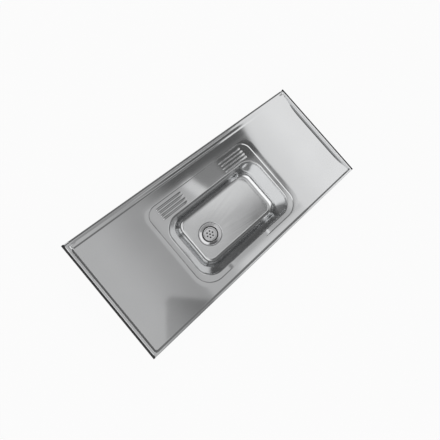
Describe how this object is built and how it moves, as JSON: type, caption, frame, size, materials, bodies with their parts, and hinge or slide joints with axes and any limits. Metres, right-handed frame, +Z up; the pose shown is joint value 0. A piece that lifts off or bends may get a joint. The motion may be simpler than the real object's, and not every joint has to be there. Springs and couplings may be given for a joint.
{
  "type": "kitchen sink with drainboards",
  "caption": "Lay-on kitchen sink top in stainless steel with one off-centre bowl, a drainboard on either side, soap ribs at the wall side and a basket strainer waste with a lift-out basket",
  "frame": {"origin": "centre of the seat plane, where the folded skirts rest on the base unit", "axes": "+X along the drainboards, +Y from the user's side towards the wall, +Z up"},
  "size_m": [1.2, 0.54, 0.2305],
  "materials": {
    "satin_steel": "fine satin rolled finish",
    "drawn_steel": "satin, drawn and lightly polished",
    "polished_steel": "polished stainless steel",
    "black_rubber": "matt black extruded rubber",
    "zinc": "bright zinc plated steel",
    "pad": "bitumen sheet, matt",
    "soft_gasket": "soft black rubber",
    "fibre": "waxed fibre board",
    "nut_plastic": "moulded plastic, white"
  },
  "bodies": {
    "sink_top": {"deck": "satin_steel", "bowl": "drawn_steel", "end_seal_left": "black_rubber", "end_seal_right": "black_rubber", "channel_left_outer": "zinc", "channel_left_inner": "zinc", "channel_right_inner": "zinc", "channel_right_outer": "zinc", "pad_left": "pad", "pad_right": "pad", "pad_bowl": "pad", "earth_tag": "zinc", "strainer_body": "polished_steel", "flange_gasket": "soft_gasket", "lower_gasket": "soft_gasket", "friction_washer": "fibre", "lock_nut": "nut_plastic", "stud_front_left": "zinc", "stud_front_right": "zinc", "stud_rear_left": "zinc", "stud_rear_right": "zinc"},
    "clip_front_left": {"clip_front_left": "zinc"},
    "wing_nut_front_left": {"wing_nut_front_left": "zinc"},
    "clip_front_right": {"clip_front_right": "zinc"},
    "wing_nut_front_right": {"wing_nut_front_right": "zinc"},
    "clip_rear_left": {"clip_rear_left": "zinc"},
    "wing_nut_rear_left": {"wing_nut_rear_left": "zinc"},
    "clip_rear_right": {"clip_rear_right": "zinc"},
    "wing_nut_rear_right": {"wing_nut_rear_right": "zinc"},
    "strainer_basket": {"strainer_basket": "polished_steel"}
  },
  "joints": [
    {"name": "clip_turn_front_left", "type": "hinge", "parent": "sink_top", "child": "clip_front_left", "pos_m": [-0.52, -0.195, -0.024], "axis": [0, 0, 1], "range_deg": [0, 90]},
    {"name": "nut_turn_front_left", "type": "hinge", "parent": "sink_top", "child": "wing_nut_front_left", "pos_m": [-0.52, -0.195, -0.0303], "axis": [0, 0, 1], "continuous": true},
    {"name": "clip_turn_front_right", "type": "hinge", "parent": "sink_top", "child": "clip_front_right", "pos_m": [0.52, -0.195, -0.024], "axis": [0, 0, 1], "range_deg": [-90, 0]},
    {"name": "nut_turn_front_right", "type": "hinge", "parent": "sink_top", "child": "wing_nut_front_right", "pos_m": [0.52, -0.195, -0.0303], "axis": [0, 0, 1], "continuous": true},
    {"name": "clip_turn_rear_left", "type": "hinge", "parent": "sink_top", "child": "clip_rear_left", "pos_m": [-0.52, 0.185, -0.024], "axis": [0, 0, 1], "range_deg": [-90, 0]},
    {"name": "nut_turn_rear_left", "type": "hinge", "parent": "sink_top", "child": "wing_nut_rear_left", "pos_m": [-0.52, 0.185, -0.0303], "axis": [0, 0, 1], "continuous": true},
    {"name": "clip_turn_rear_right", "type": "hinge", "parent": "sink_top", "child": "clip_rear_right", "pos_m": [0.52, 0.185, -0.024], "axis": [0, 0, 1], "range_deg": [0, 90]},
    {"name": "nut_turn_rear_right", "type": "hinge", "parent": "sink_top", "child": "wing_nut_rear_right", "pos_m": [0.52, 0.185, -0.0303], "axis": [0, 0, 1], "continuous": true},
    {"name": "basket_lift", "type": "slide", "parent": "sink_top", "child": "strainer_basket", "axis": [0, 0, 1], "range_m": [0, 0.06]}
  ]
}
